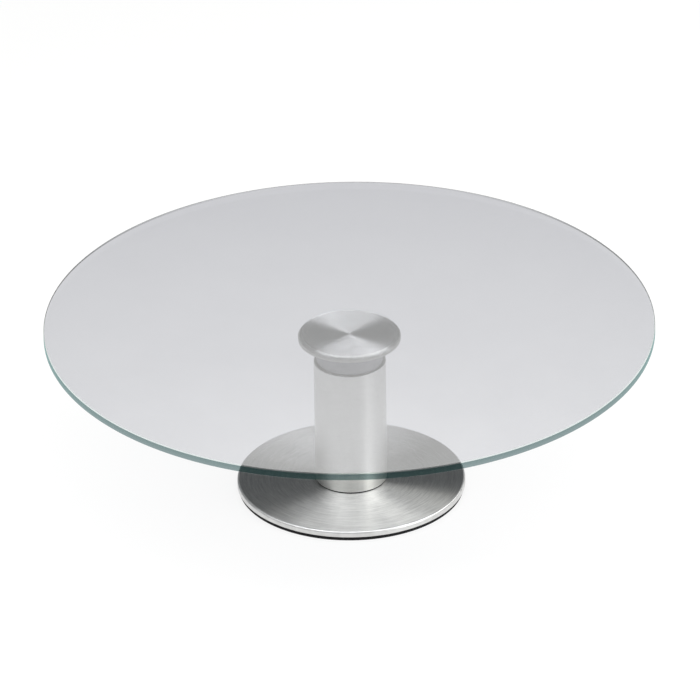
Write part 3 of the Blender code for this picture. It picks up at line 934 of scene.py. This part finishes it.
def make_pad(look):
    """The black pad under the base, open in the middle to reach the screws."""
    outline = ring(PAD_HOLE_RADIUS, *reach("foot_pad"), PAD_ROUND)
    place(turned("pad", outline, WIDE_SEGMENTS), "foot_pad", "black_rubber", look)


def make_floor():
    """A plain white floor that the camera sees no edge of."""
    shape = bmesh.new()
    bmesh.ops.create_grid(shape, x_segments=1, y_segments=1, size=FLOOR_SIZE / 2)
    mesh = bpy.data.meshes.new("floor")
    shape.to_mesh(mesh)
    shape.free()
    floor = bpy.data.objects.new("floor", mesh)
    floor.location.z = -FLOOR_GAP
    bpy.context.scene.collection.objects.link(floor)
    tree = Tree("floor")
    paint = tree.add(
        "BsdfPrincipled",
        {
            "Base Color": grey(0.10),
            "Roughness": 0.8,
            "Specular IOR Level": 0.1,
            "Emission Color": grey(1),
            "Emission Strength": 0.84,
        },
    )
    mesh.materials.append(tree.finish(paint.outputs[0]))


def add_softbox(name, location, width, depth, radiance, colour):
    """A soft area light of one radiance, turned to the stand."""
    light = bpy.data.lights.new(name, "AREA")
    light.shape = "RECTANGLE"
    light.size = width
    light.size_y = depth
    light.energy = radiance * math.pi * width * depth
    light.color = colour
    lamp = bpy.data.objects.new(name, light)
    lamp.location = location
    lamp.rotation_euler = (LAMP_AIM - lamp.location).to_track_quat("-Z", "Y").to_euler()
    lamp.visible_camera = False
    bpy.context.scene.collection.objects.link(lamp)
    return lamp


def link_light(lamp, state, *pieces):
    """Makes a light shine only on some pieces, or on all but those."""
    receivers = bpy.data.collections.new(f"{lamp.name}_receivers")
    for piece in pieces:
        receivers.objects.link(piece)
    for member in receivers.collection_objects:
        member.light_linking.link_state = state
    lamp.light_linking.receiver_collection = receivers


def add_glass_lights(glass_disc):
    """Two softboxes that only haze the glass: an even one, and one over its front half."""
    for lamp in (
        add_softbox("glass_sky", (0, 0, 2.2), 2.5, 2.5, radiance=0.4, colour=WHITE_LIGHT),
        add_softbox("glass_front", (0, -0.24, 0.38), 0.4, 0.4, radiance=10.2, colour=WHITE_LIGHT),
    ):
        lamp.visible_glossy = False
        link_light(lamp, "INCLUDE", glass_disc)


def make_lights(glass_disc, cap):
    """A wide key from above and fills at the sides.

    The glass has lights of its own, and so has the cap under it: a softbox above and behind.
    """
    for name, location, width, depth, radiance in (
        ("key", (0.06, -0.28, 0.95), 2.4, 0.85, 5.7),
        ("right", (1.05, 0.36, 0.78), 1.0, 0.5, 4.2),
        ("right_front", (1.4, -0.9, 0.45), 0.8, 0.8, 5.0),
        ("left_fill", (-1.0, 0.0, 0.95), 0.4, 0.6, 3.2),
    ):
        lamp = add_softbox(name, location, width, depth, radiance, WARM_LIGHT)
        link_light(lamp, "EXCLUDE", glass_disc, cap)
    lamp = add_softbox("cap_light", (0.12, 0.50, 1.0), 0.9, 0.5, radiance=17.0, colour=CAP_LIGHT)
    link_light(lamp, "INCLUDE", cap)
    add_glass_lights(glass_disc)


def make_room():
    """A dim room all round, which the camera sees as white."""
    world = bpy.data.worlds.new("room")
    world.use_nodes = True
    nodes, links = world.node_tree.nodes, world.node_tree.links
    nodes.clear()
    out = nodes.new("ShaderNodeOutputWorld")
    room = nodes.new("ShaderNodeBackground")
    room.inputs["Color"].default_value = (0.88, 0.94, 1.0, 1)
    room.inputs["Strength"].default_value = 0.15
    backdrop = nodes.new("ShaderNodeBackground")
    backdrop.inputs["Color"].default_value = grey(1)
    seen = nodes.new("ShaderNodeLightPath")
    mix = nodes.new("ShaderNodeMixShader")
    links.new(seen.outputs["Is Camera Ray"], mix.inputs[0])
    links.new(room.outputs[0], mix.inputs[1])
    links.new(backdrop.outputs[0], mix.inputs[2])
    links.new(mix.outputs[0], out.inputs["Surface"])
    bpy.context.scene.world = world


def make_camera():
    """A long lens that looks at the stand from the front and from above."""
    data = bpy.data.cameras.new("camera")
    data.sensor_width = SENSOR_WIDTH
    data.lens = SENSOR_WIDTH * VIEW_DISTANCE / VIEW_WIDTH
    data.clip_start = 0.1
    data.clip_end = 100
    camera = bpy.data.objects.new("camera", data)
    aim = Vector((AIM_SIDE, 0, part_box("glass_top")[1].z - AIM_BELOW_GLASS))
    back = Vector((0, -math.cos(VIEW_ELEVATION), math.sin(VIEW_ELEVATION)))
    camera.location = aim + back * VIEW_DISTANCE
    turn = Matrix.Rotation(VIEW_ROLL, 4, "Z")
    camera.rotation_euler = ((-back).to_track_quat("-Z", "Y").to_matrix().to_4x4() @ turn).to_euler()
    bpy.context.scene.collection.objects.link(camera)
    bpy.context.scene.camera = camera


def build_stand():
    """Makes every piece with its material, and returns the glass disc and the cap."""
    base_steel = brushed_steel(
        "base_steel", roughness=0.48, anisotropy=0.97, line_depth=0.012 * MM, contrast=0.22
    )
    cap_steel = brushed_steel(
        "cap_steel", roughness=0.42, anisotropy=1.0, line_depth=0.008 * MM, contrast=0.20
    )
    column_steel = brushed_steel(
        "column_steel", roughness=0.36, anisotropy=0.7, line_depth=0.002 * MM, contrast=0.08
    )
    # Unbrushed satin steel for the base's rounded edge, lighter than the brushed steel as a painted
    # highlight.
    edge_steel_painted_highlight = satin_metal("edge_steel_painted_highlight", (0.74, 0.74, 0.73, 1), roughness=0.42)
    neck = satin_metal("satin_neck", (0.32, 0.32, 0.34, 1), roughness=0.45, metallic=0.8)
    zinc = satin_metal("zinc_plate", (0.60, 0.62, 0.64, 1), roughness=0.30)
    turned_bar = satin_metal("turned_steel", (0.50, 0.50, 0.50, 1), roughness=0.36)
    brass = satin_metal("cage_brass", (0.66, 0.46, 0.19, 1), roughness=0.34)
    rubber = moulded(
        "black_rubber", (0.009, 0.009, 0.010, 1), roughness=0.80, grain=2400.0, depth=0.02 * MM
    )
    plastic = moulded(
        "bush_plastic", (0.80, 0.79, 0.74, 1), roughness=0.45, grain=1800.0, depth=0.01 * MM
    )
    bearing = polished_steel()
    glass_disc = make_glass_top(glass_face(), glass_edge(), glass_arris())
    make_bond_film(clear_adhesive())
    cap = make_cap(cap_steel)
    make_neck(neck)
    make_bush(plastic)
    make_races(bearing)
    make_cage(brass)
    make_balls(bearing)
    make_spindle(turned_bar)
    make_washers(zinc)
    make_circlip(zinc)
    make_nut(zinc)
    make_column(column_steel)
    make_plugs(turned_bar)
    make_gasket(rubber)
    make_base(base_steel, edge_steel_painted_highlight)
    make_screws(zinc)
    make_pad(rubber)
    return glass_disc, cap


glass_disc, cap = build_stand()
make_floor()
make_lights(glass_disc, cap)
make_room()
make_camera()
bpy.context.scene.view_settings.view_transform = "Standard"
